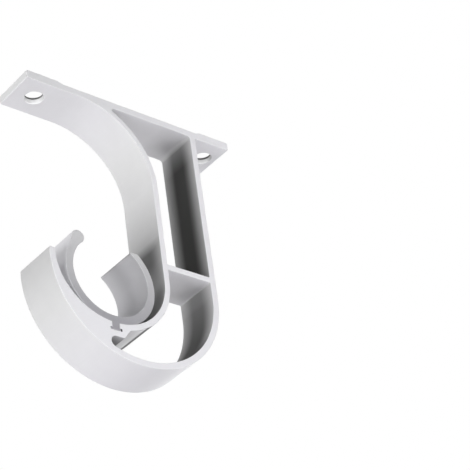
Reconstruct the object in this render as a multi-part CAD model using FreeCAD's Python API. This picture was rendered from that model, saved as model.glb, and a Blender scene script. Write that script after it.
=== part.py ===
import FreeCAD, Part
import math
import os

# Ceiling bracket for a 20 mm curtain pole, in millimetres.
# The bracket is a short cut length of one extruded metal profile, with a moulded
# plastic clip whose foot is pushed into a slot of the profile from its end.
# X runs along the ceiling plate and Y along the pole, and Z is up.
# The origin is on the ceiling face, halfway between the two screw holes and
# halfway through the cut length. The holes are drilled a little to one side of
# the plate's middle, so its left end reaches further from the origin.

# pole and cut length
POLE_D = 20.0
POLE_DROP = 51.27
CUT_LENGTH = 11.6

# screw holes
HOLE_D = 4.5
HOLE_SPACING = 50.0
HOLE_EDGE_BREAK = 0.15
HOLE_TOP_BREAK = 0.5

# ceiling plate
LEFT_END_MARGIN = 5.7
RIGHT_END_MARGIN = 3.65
PLATE_THICKNESS = 1.75
PAD_RAISE = 0.45
PAD_LENGTH = 8.7
PAD_RAMP = 1.3
PLATE_END_RADIUS = 0.3

# hanging web on the right, and the strap on the left
WEB_THICKNESS = 1.6
WEB_OUTER_X = 18.2
STRAP_THICKNESS = 1.45
STRAP_LEFT_X = 2.82
STRAP_TOP_RADIUS = 19.36
NOTCH_RADIUS = 0.6
WEB_CORNER_RADIUS = 0.95
WEB_OUTER_CORNER_RADIUS = 0.4

# cross web between them
CROSS_WEB_DROP = 43.1
CROSS_WEB_THICKNESS = 1.45
CROSS_WEB_CORNER_RADIUS = 0.25

# cradle, and the tip of the arm on its open side
CRADLE_RADIUS = 14.93
ARM_TIP_THICKNESS = 1.36
ARM_TIP_RISE = 3.42
ARM_TIP_RADIUS = 0.35

# slot for the clip's foot, the block round it and the pocket below
SLOT_DEPTH = 1.97
SLOT_NECK_WIDTH = 2.0
SLOT_HEAD_WIDTH = 3.1
SLOT_HEAD_HEIGHT = 0.65
SLOT_MOUTH_RADIUS = 0.3
BLOCK_FLOOR_THICKNESS = 1.45
BLOCK_RIGHT_REACH = 2.1
BLOCK_FLANK_RUN = 1.8
BLOCK_CORNER_RADIUS = 0.5
POCKET_HEIGHT = 4.25
POCKET_END_RADIUS = 1.4

# pole clip
CLIP_THICKNESS = 1.9
CLIP_SEAT_THICKNESS = 1.76
CLIP_OUTER_DROP = 0.3
CLIP_OFFSET = 0.3
CLIP_TIP_ANGLE = 56.3
CLIP_TIP_INNER_RADIUS = 0.3
CLIP_TIP_OUTER_RADIUS = 0.35
LIP_RADIUS = 1.6
LIP_INWARD = 0.08
LIP_ANGLE = 133.5
LIP_BLEND_OFFSET = 2.0
FOOT_CLEARANCE = 0.05
FOOT_HEAD_END_GAP = 0.3

# derived sizes of plate, web and strap
POLE_R = POLE_D / 2.0
PLATE_LEFT_X = -(HOLE_SPACING / 2.0 + LEFT_END_MARGIN)
PLATE_RIGHT_X = HOLE_SPACING / 2.0 + RIGHT_END_MARGIN
PLATE_UNDER_Z = -(PLATE_THICKNESS + PAD_RAISE)
WEB_INNER_X = WEB_OUTER_X - WEB_THICKNESS
STRAP_RIGHT_X = STRAP_LEFT_X + STRAP_THICKNESS
STRAP_CENTRE_X = STRAP_LEFT_X - STRAP_TOP_RADIUS
STRAP_CENTRE_Z = PLATE_UNDER_Z - STRAP_TOP_RADIUS
CROSS_WEB_TOP_Z = -CROSS_WEB_DROP
CROSS_WEB_UNDER_Z = CROSS_WEB_TOP_Z - CROSS_WEB_THICKNESS

# derived sizes of the clip and the cradle that it lies in
CLIP_CENTRE_Z = -POLE_DROP
CRADLE_BOTTOM_Z = CLIP_CENTRE_Z - POLE_R - CLIP_SEAT_THICKNESS
CRADLE_CENTRE_X = STRAP_LEFT_X - CRADLE_RADIUS
CRADLE_CENTRE_Z = CRADLE_BOTTOM_Z + CRADLE_RADIUS
BEND_RADIUS = CRADLE_RADIUS + STRAP_THICKNESS
CLIP_CENTRE_X = CRADLE_CENTRE_X - CLIP_OFFSET
CLIP_OUTER_RADIUS = POLE_R + CLIP_THICKNESS
CLIP_OUTER_Z = CLIP_CENTRE_Z - CLIP_OUTER_DROP
CLIP_TIP_Z = CLIP_CENTRE_Z + POLE_R * math.sin(math.radians(CLIP_TIP_ANGLE))
LIP_BLEND_RADIUS = POLE_R - LIP_BLEND_OFFSET

# derived sizes of slot, pocket and outer wall
SLOT_CENTRE_X = CLIP_CENTRE_X
SLOT_FLOOR_Z = CRADLE_BOTTOM_Z - SLOT_DEPTH
BLOCK_RIGHT_X = SLOT_CENTRE_X + BLOCK_RIGHT_REACH
POCKET_TOP_Z = SLOT_FLOOR_Z - BLOCK_FLOOR_THICKNESS
ARM_TIP_Z = CLIP_CENTRE_Z + ARM_TIP_RISE
ARM_TIP_LEFT_X = CRADLE_CENTRE_X - CRADLE_RADIUS - ARM_TIP_THICKNESS
OUTER_RADIUS = (WEB_OUTER_X - ARM_TIP_LEFT_X) / 2.0
OUTER_INNER_RADIUS = OUTER_RADIUS - WEB_THICKNESS
OUTER_CENTRE_X = WEB_OUTER_X - OUTER_RADIUS
OUTER_CENTRE_Z = POCKET_TOP_Z - POCKET_HEIGHT + OUTER_INNER_RADIUS
HALF_CUT = CUT_LENGTH / 2.0
Y_AXIS = FreeCAD.Vector(0, 1, 0)


def at(x, z):
    """Point of the near end face."""
    return FreeCAD.Vector(x, -HALF_CUT, z)


def on_circle(cx, cz, radius, degrees):
    """Point of the near end face on a circle, the angle taken from +X towards +Z."""
    a = math.radians(degrees)
    return at(cx + radius * math.cos(a), cz + radius * math.sin(a))


def line(p, q):
    """Straight edge."""
    return Part.makeLine(p, q)


def arc(cx, cz, radius, start, end):
    """Arc edge from one angle to another, in degrees."""
    a = on_circle(cx, cz, radius, start)
    b = on_circle(cx, cz, radius, (start + end) / 2.0)
    c = on_circle(cx, cz, radius, end)
    return Part.Arc(a, b, c).toShape()


def extrude(edges):
    """Solid of the whole cut length from a closed chain of edges."""
    face = Part.Face(Part.Wire(edges))
    return face.extrude(FreeCAD.Vector(0, CUT_LENGTH, 0))


def polygon(points):
    """Solid of the whole cut length from corner points."""
    edges = []
    for i in range(len(points)):
        edges.append(line(points[i], points[(i + 1) % len(points)]))
    return extrude(edges)


def rod(cx, cz, radius):
    """Solid cylinder of the whole cut length."""
    return Part.makeCylinder(radius, CUT_LENGTH, at(cx, cz), Y_AXIS)


def corner_edges(solid, corners, tolerance=0.05):
    """Edges that run along Y through the given corners of the end face."""
    found = []
    for edge in solid.Edges:
        a = edge.Vertexes[0].Point
        b = edge.Vertexes[-1].Point
        if abs(abs(a.y - b.y) - CUT_LENGTH) > 0.001:
            continue
        for corner in corners:
            if math.hypot(a.x - corner.x, a.z - corner.z) < tolerance:
                found.append(edge)
                break
    return found


def rounded(solid, radius, corners):
    """Solid with the edges through the given corners rounded."""
    edges = corner_edges(solid, corners)
    return solid.makeFillet(radius, edges).Solids[0]


def make_plate():
    """Ceiling plate, with a raised pad under each end of the ceiling face."""
    left_pad = PLATE_LEFT_X + PAD_LENGTH
    right_pad = PLATE_RIGHT_X - PAD_LENGTH
    plate = polygon([
        at(PLATE_LEFT_X, PLATE_UNDER_Z),
        at(PLATE_RIGHT_X, PLATE_UNDER_Z),
        at(PLATE_RIGHT_X, 0),
        at(right_pad, 0),
        at(right_pad - PAD_RAMP, -PAD_RAISE),
        at(left_pad + PAD_RAMP, -PAD_RAISE),
        at(left_pad, 0),
        at(PLATE_LEFT_X, 0),
    ])
    low = [at(PLATE_LEFT_X, PLATE_UNDER_Z), at(PLATE_RIGHT_X, PLATE_UNDER_Z)]
    high = [at(PLATE_LEFT_X, 0), at(PLATE_RIGHT_X, 0)]
    return rounded(plate, PLATE_END_RADIUS, low + high)


def make_hook():
    """Everything below the plate, as one full body without its hollows."""
    crest = on_circle(CRADLE_CENTRE_X, CRADLE_CENTRE_Z, CRADLE_RADIUS, 150)
    top_z = PLATE_UNDER_Z + PLATE_THICKNESS / 2.0
    hook = extrude([
        line(at(STRAP_CENTRE_X, top_z), at(WEB_OUTER_X, top_z)),
        line(at(WEB_OUTER_X, top_z), at(WEB_OUTER_X, OUTER_CENTRE_Z)),
        arc(OUTER_CENTRE_X, OUTER_CENTRE_Z, OUTER_RADIUS, 0, -180),
        line(at(ARM_TIP_LEFT_X, OUTER_CENTRE_Z), at(ARM_TIP_LEFT_X, crest.z)),
        line(at(ARM_TIP_LEFT_X, crest.z), crest),
        arc(CRADLE_CENTRE_X, CRADLE_CENTRE_Z, CRADLE_RADIUS, -210, 0),
        line(at(STRAP_LEFT_X, CRADLE_CENTRE_Z), at(STRAP_LEFT_X, STRAP_CENTRE_Z)),
        arc(STRAP_CENTRE_X, STRAP_CENTRE_Z, STRAP_TOP_RADIUS, 0, 90),
        line(at(STRAP_CENTRE_X, PLATE_UNDER_Z), at(STRAP_CENTRE_X, top_z)),
    ])
    # The arm is cut off level at its tip.
    hook = hook.cut(polygon([
        at(ARM_TIP_LEFT_X - 1.0, ARM_TIP_Z),
        at(CRADLE_CENTRE_X, ARM_TIP_Z),
        at(CRADLE_CENTRE_X, crest.z + 1.0),
        at(ARM_TIP_LEFT_X - 1.0, crest.z + 1.0),
    ]))
    outer_drop = min(ARM_TIP_Z - OUTER_CENTRE_Z, 0.0)
    tip_left = OUTER_CENTRE_X - math.sqrt(OUTER_RADIUS ** 2 - outer_drop ** 2)
    cradle_drop = ARM_TIP_Z - CRADLE_CENTRE_Z
    tip_right = CRADLE_CENTRE_X - math.sqrt(CRADLE_RADIUS ** 2 - cradle_drop ** 2)
    tips = [at(tip_left, ARM_TIP_Z), at(tip_right, ARM_TIP_Z)]
    return rounded(hook, ARM_TIP_RADIUS, tips)


def make_upper_hollow():
    """Hollow between plate, strap, web and cross web."""
    outer = STRAP_TOP_RADIUS + STRAP_THICKNESS
    drop = PLATE_UNDER_Z - STRAP_CENTRE_Z
    notch_angle = math.degrees(math.asin(drop / outer))
    notch_x = STRAP_CENTRE_X + math.sqrt(outer ** 2 - drop ** 2)
    hollow = extrude([
        line(at(notch_x, PLATE_UNDER_Z), at(WEB_INNER_X, PLATE_UNDER_Z)),
        line(at(WEB_INNER_X, PLATE_UNDER_Z), at(WEB_INNER_X, CROSS_WEB_TOP_Z)),
        line(at(WEB_INNER_X, CROSS_WEB_TOP_Z), at(STRAP_RIGHT_X, CROSS_WEB_TOP_Z)),
        line(at(STRAP_RIGHT_X, CROSS_WEB_TOP_Z), at(STRAP_RIGHT_X, STRAP_CENTRE_Z)),
        arc(STRAP_CENTRE_X, STRAP_CENTRE_Z, outer, 0, notch_angle),
    ])
    hollow = rounded(hollow, NOTCH_RADIUS, [at(notch_x, PLATE_UNDER_Z)])
    hollow = rounded(hollow, WEB_CORNER_RADIUS, [at(WEB_INNER_X, PLATE_UNDER_Z)])
    low = [at(WEB_INNER_X, CROSS_WEB_TOP_Z), at(STRAP_RIGHT_X, CROSS_WEB_TOP_Z)]
    return rounded(hollow, CROSS_WEB_CORNER_RADIUS, low)


def make_lower_hollow():
    """Hollow between cross web, web, outer wall, slot block and strap bend."""
    block_drop = POCKET_TOP_Z - CRADLE_CENTRE_Z
    flank_x = BLOCK_RIGHT_X + BLOCK_FLANK_RUN
    flank_drop = -math.sqrt(BEND_RADIUS ** 2 - (flank_x - CRADLE_CENTRE_X) ** 2)
    flank_z = CRADLE_CENTRE_Z + flank_drop
    flank_angle = math.degrees(math.atan2(flank_drop, flank_x - CRADLE_CENTRE_X))
    wall_drop = POCKET_TOP_Z - OUTER_CENTRE_Z
    wall_reach = math.sqrt(OUTER_INNER_RADIUS ** 2 - wall_drop ** 2)
    pocket_x = OUTER_CENTRE_X - wall_reach
    wall_angle = math.degrees(math.atan2(wall_drop, -wall_reach))
    hollow = extrude([
        line(at(STRAP_RIGHT_X, CROSS_WEB_UNDER_Z), at(WEB_INNER_X, CROSS_WEB_UNDER_Z)),
        line(at(WEB_INNER_X, CROSS_WEB_UNDER_Z), at(WEB_INNER_X, OUTER_CENTRE_Z)),
        arc(OUTER_CENTRE_X, OUTER_CENTRE_Z, OUTER_INNER_RADIUS, 0, wall_angle),
        line(at(pocket_x, POCKET_TOP_Z), at(BLOCK_RIGHT_X, POCKET_TOP_Z)),
        line(at(BLOCK_RIGHT_X, POCKET_TOP_Z), at(flank_x, flank_z)),
        arc(CRADLE_CENTRE_X, CRADLE_CENTRE_Z, BEND_RADIUS, flank_angle, 0),
        line(at(STRAP_RIGHT_X, CRADLE_CENTRE_Z), at(STRAP_RIGHT_X, CROSS_WEB_UNDER_Z)),
    ])
    hollow = rounded(hollow, POCKET_END_RADIUS, [at(pocket_x, POCKET_TOP_Z)])
    hollow = rounded(hollow, BLOCK_CORNER_RADIUS, [at(flank_x, flank_z)])
    top = [at(STRAP_RIGHT_X, CROSS_WEB_UNDER_Z), at(WEB_INNER_X, CROSS_WEB_UNDER_Z)]
    return rounded(hollow, CROSS_WEB_CORNER_RADIUS, top)


def cradle_z(x):
    """Height of the cradle's bottom surface at a place across it."""
    return CRADLE_CENTRE_Z - math.sqrt(CRADLE_RADIUS ** 2 - (x - CRADLE_CENTRE_X) ** 2)


def make_slot():
    """T slot that opens into the cradle, with a rounded mouth."""
    neck_left = SLOT_CENTRE_X - SLOT_NECK_WIDTH / 2.0
    neck_right = SLOT_CENTRE_X + SLOT_NECK_WIDTH / 2.0
    head_left = SLOT_CENTRE_X - SLOT_HEAD_WIDTH / 2.0
    head_right = SLOT_CENTRE_X + SLOT_HEAD_WIDTH / 2.0
    head_top = SLOT_FLOOR_Z + SLOT_HEAD_HEIGHT
    above = CRADLE_CENTRE_Z - CRADLE_RADIUS / 2.0
    return polygon([
        at(head_left, SLOT_FLOOR_Z),
        at(head_right, SLOT_FLOOR_Z),
        at(head_right, head_top),
        at(neck_right, head_top),
        at(neck_right, above),
        at(neck_left, above),
        at(neck_left, head_top),
        at(head_left, head_top),
    ])


def make_profile():
    """The whole cut length of the extruded profile."""
    profile = make_plate().fuse(make_hook())
    profile = profile.cut(make_upper_hollow())
    profile = profile.cut(make_lower_hollow())
    profile = profile.cut(make_slot())
    profile = profile.removeSplitter()
    profile = profile.Solids[0]
    neck_left = SLOT_CENTRE_X - SLOT_NECK_WIDTH / 2.0
    neck_right = SLOT_CENTRE_X + SLOT_NECK_WIDTH / 2.0
    mouth = [at(neck_left, cradle_z(neck_left)), at(neck_right, cradle_z(neck_right))]
    profile = rounded(profile, SLOT_MOUTH_RADIUS, mouth)
    profile = rounded(profile, WEB_OUTER_CORNER_RADIUS, [at(WEB_OUTER_X, PLATE_UNDER_Z)])
    for side in (-1, 1):
        profile = profile.cut(make_hole(side * HOLE_SPACING / 2.0))
    return profile.removeSplitter().Solids[0]


def make_hole(x):
    """Screw hole through a pad, its rims broken, the one on the ceiling side more."""
    radius = HOLE_D / 2.0
    low_rim = radius + HOLE_EDGE_BREAK
    top_rim = radius + HOLE_TOP_BREAK
    up = FreeCAD.Vector(0, 0, 1)
    base = FreeCAD.Vector(x, 0, PLATE_UNDER_Z - 1.0)
    hole = Part.makeCylinder(radius, PLATE_THICKNESS + PAD_RAISE + 2.0, base, up)
    low = FreeCAD.Vector(x, 0, PLATE_UNDER_Z)
    high = FreeCAD.Vector(x, 0, -HOLE_TOP_BREAK)
    hole = hole.fuse(Part.makeCone(low_rim, radius, HOLE_EDGE_BREAK, low, up))
    hole = hole.fuse(Part.makeCone(radius, top_rim, HOLE_TOP_BREAK, high, up))
    return hole


def angle_of(start, end):
    """Direction from one point of the end face to another, in degrees."""
    return math.degrees(math.atan2(end.z - start.z, end.x - start.x))


def make_ring():
    """Open ring of the clip with its thick lip, before the foot is added."""
    # The outside circle sits a little lower than the pole, so the two arms
    # get thinner towards their ends.
    centre = at(CLIP_CENTRE_X, CLIP_CENTRE_Z)
    outer_centre = at(CLIP_CENTRE_X, CLIP_OUTER_Z)
    lip_reach = POLE_R - LIP_INWARD + LIP_RADIUS
    lip = on_circle(centre.x, centre.z, lip_reach, LIP_ANGLE)
    # The blend runs inside the pole's circle and touches the lip from outside.
    blend_reach = POLE_R - LIP_BLEND_RADIUS
    apart = LIP_BLEND_RADIUS + LIP_RADIUS
    cosine = (blend_reach ** 2 + lip_reach ** 2 - apart ** 2) / (2.0 * blend_reach * lip_reach)
    blend_angle = LIP_ANGLE + math.degrees(math.acos(cosine))
    blend = on_circle(centre.x, centre.z, blend_reach, blend_angle)
    blend_end = angle_of(blend, lip)
    # The outside tangent touches lip and ring at the same angle.
    gap = math.hypot(lip.x - outer_centre.x, lip.z - outer_centre.z)
    lean = math.degrees(math.asin((CLIP_OUTER_RADIUS - LIP_RADIUS) / gap))
    touch = angle_of(outer_centre, lip) + 90.0 - lean
    lip_touch = on_circle(lip.x, lip.z, LIP_RADIUS, touch)
    ring_touch = on_circle(outer_centre.x, outer_centre.z, CLIP_OUTER_RADIUS, touch)
    # The other end is cut level.
    outer_tip = math.degrees(math.asin((CLIP_TIP_Z - outer_centre.z) / CLIP_OUTER_RADIUS))
    tip_inner = on_circle(centre.x, centre.z, POLE_R, CLIP_TIP_ANGLE)
    tip_outer = on_circle(outer_centre.x, outer_centre.z, CLIP_OUTER_RADIUS, outer_tip)
    ring = extrude([
        arc(centre.x, centre.z, POLE_R, CLIP_TIP_ANGLE, blend_angle - 360.0),
        arc(blend.x, blend.z, LIP_BLEND_RADIUS, blend_angle, blend_end),
        arc(lip.x, lip.z, LIP_RADIUS, blend_end - 180.0, touch),
        line(lip_touch, ring_touch),
        arc(outer_centre.x, outer_centre.z, CLIP_OUTER_RADIUS, touch, 360.0 + outer_tip),
        line(tip_outer, tip_inner),
    ])
    ring = rounded(ring, CLIP_TIP_INNER_RADIUS, [tip_inner])
    ring = rounded(ring, CLIP_TIP_OUTER_RADIUS, [tip_outer])
    cradle = rod(CRADLE_CENTRE_X, CRADLE_CENTRE_Z, CRADLE_RADIUS)
    return ring.common(cradle).removeSplitter().Solids[0]


def make_clip():
    """Clip with its foot, which stands in the slot of the profile."""
    neck_left = SLOT_CENTRE_X - SLOT_NECK_WIDTH / 2.0 + FOOT_CLEARANCE
    neck_right = SLOT_CENTRE_X + SLOT_NECK_WIDTH / 2.0 - FOOT_CLEARANCE
    head_left = SLOT_CENTRE_X - SLOT_HEAD_WIDTH / 2.0 + FOOT_CLEARANCE
    head_right = SLOT_CENTRE_X + SLOT_HEAD_WIDTH / 2.0 - FOOT_HEAD_END_GAP
    foot_z = SLOT_FLOOR_Z + FOOT_CLEARANCE
    head_top = SLOT_FLOOR_Z + SLOT_HEAD_HEIGHT - FOOT_CLEARANCE
    inside = CLIP_CENTRE_Z - POLE_R - CLIP_THICKNESS / 2.0
    foot = polygon([
        at(head_left, foot_z),
        at(head_right, foot_z),
        at(head_right, head_top),
        at(neck_right, head_top),
        at(neck_right, inside),
        at(neck_left, inside),
        at(neck_left, head_top),
        at(head_left, head_top),
    ])
    clip = make_ring().fuse(foot).removeSplitter().Solids[0]
    root_radius = SLOT_MOUTH_RADIUS - FOOT_CLEARANCE
    roots = [at(neck_left, cradle_z(neck_left)), at(neck_right, cradle_z(neck_right))]
    return rounded(clip, root_radius, roots)


os.makedirs("parts", exist_ok=True)
bracket_profile = make_profile()
pole_clip = make_clip()
bracket_profile.exportStep("parts/bracket_profile.step")
pole_clip.exportStep("parts/pole_clip.step")
for name, shape in (("bracket_profile", bracket_profile), ("pole_clip", pole_clip)):
    print(name, shape.ShapeType, shape.isValid(), round(shape.Volume, 2))
print("shared volume", round(bracket_profile.common(pole_clip).Volume, 6))
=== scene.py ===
"""Looks of a ceiling bracket that carries a 20 mm curtain pole.

The bracket is a short cut length of one extruded aluminium profile, and a plastic clip
whose foot stands in a slot of it. Both pieces have one outline all through the cut
length, so each is its outline carried along Y between two flat ends, with the edges of
the ends softened. Sizes are in millimetres, and go into the meshes in metres.
"""

import logging
import math
from abc import ABC, abstractmethod
from collections.abc import Iterable
from dataclasses import dataclass, field, replace
from enum import Enum

import bpy
import numpy as np
from mathutils import Matrix, Vector
from mathutils.geometry import delaunay_2d_cdt


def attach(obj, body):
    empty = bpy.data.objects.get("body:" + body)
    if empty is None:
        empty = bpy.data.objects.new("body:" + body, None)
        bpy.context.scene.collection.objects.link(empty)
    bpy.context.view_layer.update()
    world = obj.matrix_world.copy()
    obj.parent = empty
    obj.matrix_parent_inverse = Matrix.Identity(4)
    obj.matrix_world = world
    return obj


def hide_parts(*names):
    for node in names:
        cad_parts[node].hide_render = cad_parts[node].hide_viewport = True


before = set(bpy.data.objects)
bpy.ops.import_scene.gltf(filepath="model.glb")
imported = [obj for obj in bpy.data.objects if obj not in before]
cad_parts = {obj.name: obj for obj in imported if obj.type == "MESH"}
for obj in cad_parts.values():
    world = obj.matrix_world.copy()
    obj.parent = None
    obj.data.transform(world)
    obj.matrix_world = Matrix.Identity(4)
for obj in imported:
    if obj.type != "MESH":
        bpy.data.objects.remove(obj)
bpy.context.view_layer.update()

MM = 0.001
# smallest difference between two places that counts, in mm
TINY = 1e-6
LOG = logging.getLogger("ceiling_bracket")
WHITE = (1.0, 1.0, 1.0, 1.0)

Point = tuple[float, float]
Triple = tuple[float, float, float]
Colour = Triple
Pattern = tuple[Triple, float]
Inputs = dict[str | int, object]


# outlines


class Turn(Enum):
    """Way that a side bends, as the sign of its sweep round its circle."""

    STRAIGHT = 0
    LEFT = 1
    RIGHT = -1


class Heading(Enum):
    """Way that a level side is travelled, as its sign along X."""

    RIGHTWARD = 1
    LEFTWARD = -1


@dataclass(frozen=True)
class Skin:
    """How much painted shade the skin carries at one place of an outline.

    Attributes:
        painted_shade: strength of the painted shade halfway along the cut length, from 0 to 1; it darkens
            sheltered walls where shadow falls.
        near: the near end's painted shade as a share of that, over 1 where it grows.
        far: the same at the far end.
    """

    painted_shade: float = 0.0
    near: float = 0.2
    far: float = 0.2

    def values(self) -> np.ndarray:
        """Painted shade, near share and far share in a row."""
        return np.array([self.painted_shade, self.near, self.far])


SkinTable = tuple[tuple[float, Skin], ...]


def even(painted_shade: float) -> Skin:
    """Skin whose painted shade is as strong at both ends as halfway."""
    return Skin(painted_shade, 1.0, 1.0)


@dataclass(frozen=True)
class Side:
    """One side of an outline, from its own corner to the next side's corner.

    Attributes:
        start: corner where the side begins, as (x, z) in mm.
        soft: radius that rounds this corner, in mm, or 0 where it runs on smoothly.
        centre: centre of a round side's circle, or None for a straight side.
        turn: way that a round side bends.
        skin: skin where the side begins.
        last: skin where it ends, or None where the skin stays the same.
        cuts: number of cells along the side, or 0 to follow the outline's step.
        name: name by which a surface finds the side again.
    """

    start: Point
    soft: float = 0.0
    centre: Point | None = None
    turn: Turn = Turn.STRAIGHT
    skin: Skin = Skin()
    last: Skin | None = None
    cuts: int = 0
    name: str = ""

    def skins(self) -> np.ndarray:
        """The skin's values where the side begins and ends, as two rows."""
        return np.array([self.skin.values(), (self.last or self.skin).values()])


def split(side: Side, stops: Iterable[tuple[Point, Skin]]) -> list[Side]:
    """Parts of a side whose skin changes evenly from each stop to the next.

    Args:
        side: the whole side, with the skin at its beginning and end.
        stops: places on the side in the order of travel, and the skin there.

    Returns:
        The parts in the same order.
    """
    parts = [side]
    for place, skin in stops:
        parts[-1] = replace(parts[-1], last=skin)
        parts.append(Side(place, 0.0, side.centre, side.turn, skin, side.last))
    return parts


@dataclass(frozen=True)
class Ball:
    """Circle that rounds a corner.

    Attributes:
        centre: its centre, as (x, z) in mm.
        arrive: point where it touches the side before the corner.
        leave: point where it touches the side after it.
        turn: way that the outline bends there.
    """

    centre: np.ndarray
    arrive: np.ndarray
    leave: np.ndarray
    turn: Turn


@dataclass(frozen=True)
class Trace:
    """Points of an outline with the directions that point out of the material there.

    Attributes:
        points: (n, 2) array of x and z in mm.
        outward: (n, 2) array of unit directions.
        skin: (n, 3) array of the skin's values.
        columns: first point of each named side.
    """

    points: np.ndarray
    outward: np.ndarray
    skin: np.ndarray
    columns: dict[str, int]


def arc_points(centre: np.ndarray, begin: np.ndarray, stop: np.ndarray, turn: Turn,
               fan: float, cuts: int = 0) -> tuple[np.ndarray, np.ndarray]:
    """Points along a circle from one point to another, the last one left out.

    The angle grows by equal parts of the sweep, in the sense of travel, and a point is
    the centre plus the radius times (cos, sin). Outward is to the right of travel.

    Args:
        centre: centre of the circle.
        begin: first point.
        stop: point where the arc ends.
        turn: way that the arc bends.
        fan: largest angle between two points, in degrees.
        cuts: number of cells, or 0 to follow fan.

    Returns:
        The points and their outward directions.
    """
    first = math.atan2(begin[1] - centre[1], begin[0] - centre[0])
    last = math.atan2(stop[1] - centre[1], stop[0] - centre[0])
    sweep = (turn.value * (last - first)) % (2.0 * math.pi)
    cells = cuts or max(2, math.ceil(math.degrees(sweep) / fan))
    angle = first + turn.value * sweep * np.arange(cells) / cells
    radial = np.column_stack([np.cos(angle), np.sin(angle)])
    radius = math.hypot(begin[0] - centre[0], begin[1] - centre[1])
    return centre + radius * radial, turn.value * radial


def line_points(begin: np.ndarray, stop: np.ndarray, step: float,
                cuts: int = 0) -> tuple[np.ndarray, np.ndarray]:
    """Points along a straight side, the last one left out.

    A point is begin plus a growing share of the way to stop, and outward is the
    direction of travel turned a quarter to the right.

    Args:
        begin: first point.
        stop: point where the side ends.
        step: longest cell in mm.
        cuts: number of cells, or 0 to follow step.

    Returns:
        The points and their outward directions.
    """
    along = stop - begin
    length = float(np.linalg.norm(along))
    cells = cuts or max(1, math.ceil(length / step))
    share = np.arange(cells)[:, None] / cells
    outward = np.array([along[1], -along[0]]) / length
    return begin + share * along, np.repeat(outward[None], cells, axis=0)


@dataclass(frozen=True)
class Outline:
    """Closed outline in the X-Z plane, travelled with the material on its left.

    Attributes:
        sides: the sides in order.
        step: longest cell along a straight side, in mm.
        fan: largest angle between two points of a round side, in degrees.
        corner_fan: the same for a rounded corner.
        newton_steps: steps in the search for a rounded corner's centre.
    """

    sides: tuple[Side, ...]
    step: float = 1.5
    fan: float = 2.5
    corner_fan: float = 15.0
    newton_steps: int = 30

    def left_of(self, index: int, place: np.ndarray) -> tuple[float, np.ndarray]:
        """Signed distance of a place to the left of a side, and its gradient.

        Beside a straight side it is the left normal times the offset from its start.
        Beside a round side it is the radius minus the distance from the centre, with
        its sign changed for a clockwise side.

        Args:
            index: number of the side.
            place: (x, z) in mm.

        Returns:
            The distance in mm and the unit gradient.
        """
        side = self.sides[index]
        start = np.array(side.start)
        if side.centre is None:
            along = np.array(self.sides[(index + 1) % len(self.sides)].start) - start
            normal = np.array([-along[1], along[0]]) / np.linalg.norm(along)
            return float(normal @ (place - start)), normal
        out = place - np.array(side.centre)
        reach = float(np.linalg.norm(out))
        radius = math.dist(side.start, side.centre)
        return side.turn.value * (radius - reach), -side.turn.value * out / reach

    def ball(self, index: int) -> Ball | None:
        """Circle that rounds the corner at the start of a side.

        Its centre is where the signed distances to both sides equal the radius, taken
        to the left where the outline turns left, and Newton's method from the corner
        finds it.

        Args:
            index: number of the side that begins at the corner.

        Returns:
            The circle, or None where the corner isn't rounded.
        """
        side = self.sides[index]
        if side.soft <= 0.0:
            return None
        corner = np.array(side.start)
        before = index - 1 if index else len(self.sides) - 1
        _, normal_in = self.left_of(before, corner)
        _, normal_out = self.left_of(index, corner)
        bend = normal_in[0] * normal_out[1] - normal_in[1] * normal_out[0]
        turn = Turn.LEFT if bend > 0 else Turn.RIGHT
        aim = turn.value * side.soft
        centre = corner + 0.5 * aim * (normal_in + normal_out)
        for _ in range(self.newton_steps):
            near, slope_in = self.left_of(before, centre)
            far, slope_out = self.left_of(index, centre)
            gap = np.array([near, far]) - aim
            centre = centre - np.linalg.solve(np.array([slope_in, slope_out]), gap)
        near, slope_in = self.left_of(before, centre)
        far, slope_out = self.left_of(index, centre)
        return Ball(centre, centre - near * slope_in, centre - far * slope_out, turn)

    def trace(self) -> Trace:
        """Points all round the outline, corners rounded.

        Returns:
            The trace, without a repeated last point.
        """
        balls = [self.ball(i) for i in range(len(self.sides))]
        points: list[np.ndarray] = []
        outward: list[np.ndarray] = []
        skin: list[np.ndarray] = []
        columns: dict[str, int] = {}
        for i, side in enumerate(self.sides):
            ahead = (i + 1) % len(self.sides)
            ball = balls[i]
            begin = ball.leave if ball else np.array(side.start)
            stop = balls[ahead].arrive if balls[ahead] else np.array(self.sides[ahead].start)
            parts = []
            if ball:
                corner = arc_points(ball.centre, ball.arrive, ball.leave, ball.turn, self.corner_fan)
                parts.append((*corner, self.sides[i - 1].skins()[1], side.skins()[0]))
            if side.name:
                columns[side.name] = sum(len(p) for p in points) + sum(len(p[0]) for p in parts)
            if side.centre is None:
                line = line_points(begin, stop, self.step, side.cuts)
            else:
                line = arc_points(np.array(side.centre), begin, stop, side.turn, self.fan, side.cuts)
            parts.append((*line, *side.skins()))
            for spots, away, first, last in parts:
                points.append(spots)
                outward.append(away)
                skin.append(np.linspace(first, last, len(spots), endpoint=False))
        return Trace(np.concatenate(points), np.concatenate(outward), np.concatenate(skin), columns)


# surfaces

# where the painted shade begins to fade, as a share of the way from the middle to an end
FADE_START = 0.3
# power of the rest of the way, which the fade follows
FADE_POWER = 1.3
# painted shade on the far softened edge, as a share of the wall's
FAR_EDGE_SHADE = 0.5


@dataclass(frozen=True)
class CutRows:
    """Rows of a piece from its near end to its far end.

    Attributes:
        along: y of each row, in mm.
        inset: how far the row lies inside the outline, in mm.
        out: share of the outline's outward direction in the row's normal.
        end: share of the Y direction in the row's normal.
        edge: 1 in the middle of the softened edge and 0 elsewhere.
    """

    along: np.ndarray
    inset: np.ndarray
    out: np.ndarray
    end: np.ndarray
    edge: np.ndarray


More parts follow.
